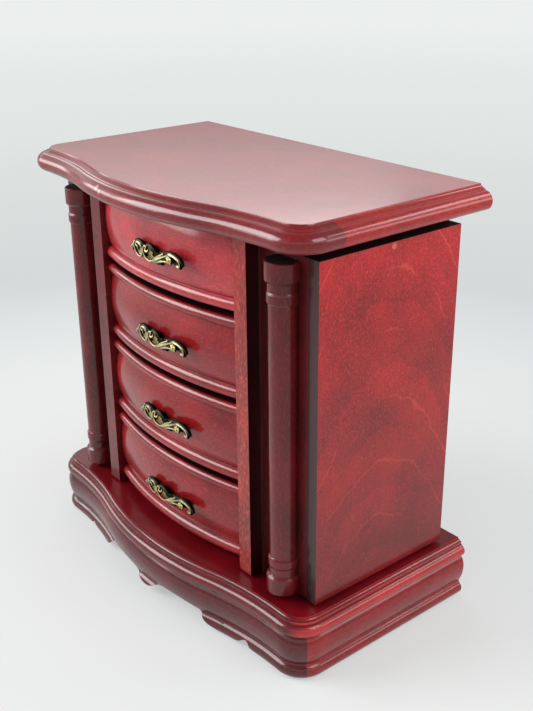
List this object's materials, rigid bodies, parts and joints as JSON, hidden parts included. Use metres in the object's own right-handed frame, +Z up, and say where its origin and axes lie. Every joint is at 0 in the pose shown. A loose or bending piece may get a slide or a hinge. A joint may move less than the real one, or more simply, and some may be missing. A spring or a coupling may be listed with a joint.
{
  "type": "jewellery box with lid mirror",
  "caption": "Serpentine-fronted vanity box: lift-up lid with an inner mirror over a ring compartment, bow-fronted drawers on scroll pulls, and side doors with half columns over necklace hooks.",
  "frame": {"origin": "centre of the bounding box on the surface the box stands on", "axes": "+X to the right seen from the front, the front faces -Y, +Z up"},
  "size_m": [0.29, 0.167, 0.287],
  "materials": {
    "cherry": "cherry-red stained hardwood under semi-gloss lacquer",
    "dark_cherry": "dark cherry stain, satin",
    "inner_wood": "thinly stained inner wood",
    "velvet": "champagne-coloured velvet",
    "antique_brass": "antique cast brass, blackened in its recesses",
    "bright_brass": "plated steel hinges, hooks and pins",
    "mirror": "silvered glass"
  },
  "bodies": {
    "cabinet": {"plinth_front": "cherry", "plinth_left": "cherry", "plinth_right": "cherry", "plinth_back": "dark_cherry", "base_board": "cherry", "wall_left": "dark_cherry", "wall_right": "dark_cherry", "post_left": "cherry", "post_right": "cherry", "back_panel": "dark_cherry", "deck_left": "dark_cherry", "deck_right": "dark_cherry", "shelf_lower": "inner_wood", "shelf_middle": "inner_wood", "shelf_upper": "inner_wood", "compartment_floor": "inner_wood", "false_front": "cherry", "false_front_pull": "antique_brass", "compartment_lining": "velvet", "compartment_divider": "velvet", "ring_roll_bed": "velvet", "ring_rolls": "velvet", "hook_rail_left": "dark_cherry", "hook_rail_right": "dark_cherry", "necklace_hooks_left": "bright_brass", "necklace_hooks_right": "bright_brass", "body_hinge_leaves": "bright_brass", "lid_hinge_pins": "bright_brass", "door_frame_leaves": "bright_brass", "door_hinge_pins": "bright_brass"},
    "lid": {"lid_panel": "cherry", "lid_moulding_front": "cherry", "lid_moulding_left": "cherry", "lid_moulding_right": "cherry", "mirror_plate": "mirror", "mirror_frame": "cherry", "lid_hinge_leaves": "bright_brass"},
    "drawer_2": {"drawer_2_front": "cherry", "drawer_2_box": "inner_wood", "drawer_2_bottom": "inner_wood", "drawer_2_lining": "velvet", "drawer_2_pull": "antique_brass"},
    "drawer_3": {"drawer_3_front": "cherry", "drawer_3_box": "inner_wood", "drawer_3_bottom": "inner_wood", "drawer_3_lining": "velvet", "drawer_3_pull": "antique_brass"},
    "drawer_4": {"drawer_4_front": "cherry", "drawer_4_box": "inner_wood", "drawer_4_bottom": "inner_wood", "drawer_4_lining": "velvet", "drawer_4_pull": "antique_brass"},
    "door_left": {"door_left_side": "cherry", "door_left_front": "cherry", "door_left_column": "cherry", "door_left_hinge_leaves": "bright_brass"},
    "door_right": {"door_right_side": "cherry", "door_right_front": "cherry", "door_right_column": "cherry", "door_right_hinge_leaves": "bright_brass"}
  },
  "joints": [
    {"name": "lid_hinge", "type": "hinge", "parent": "cabinet", "child": "lid", "pos_m": [0, 0.0812, 0.27], "axis": [-1, 0, 0], "range_deg": [0, 105]},
    {"name": "drawer_2_slide", "type": "slide", "parent": "cabinet", "child": "drawer_2", "axis": [0, -1, 0], "range_m": [0, 0.075]},
    {"name": "drawer_3_slide", "type": "slide", "parent": "cabinet", "child": "drawer_3", "axis": [0, -1, 0], "range_m": [0, 0.075]},
    {"name": "drawer_4_slide", "type": "slide", "parent": "cabinet", "child": "drawer_4", "axis": [0, -1, 0], "range_m": [0, 0.075]},
    {"name": "door_left_hinge", "type": "hinge", "parent": "cabinet", "child": "door_left", "pos_m": [-0.12445, 0.0728, 0.15], "axis": [0, 0, -1], "range_deg": [0, 110]},
    {"name": "door_right_hinge", "type": "hinge", "parent": "cabinet", "child": "door_right", "pos_m": [0.12445, 0.0728, 0.15], "axis": [0, 0, 1], "range_deg": [0, 110]}
  ]
}
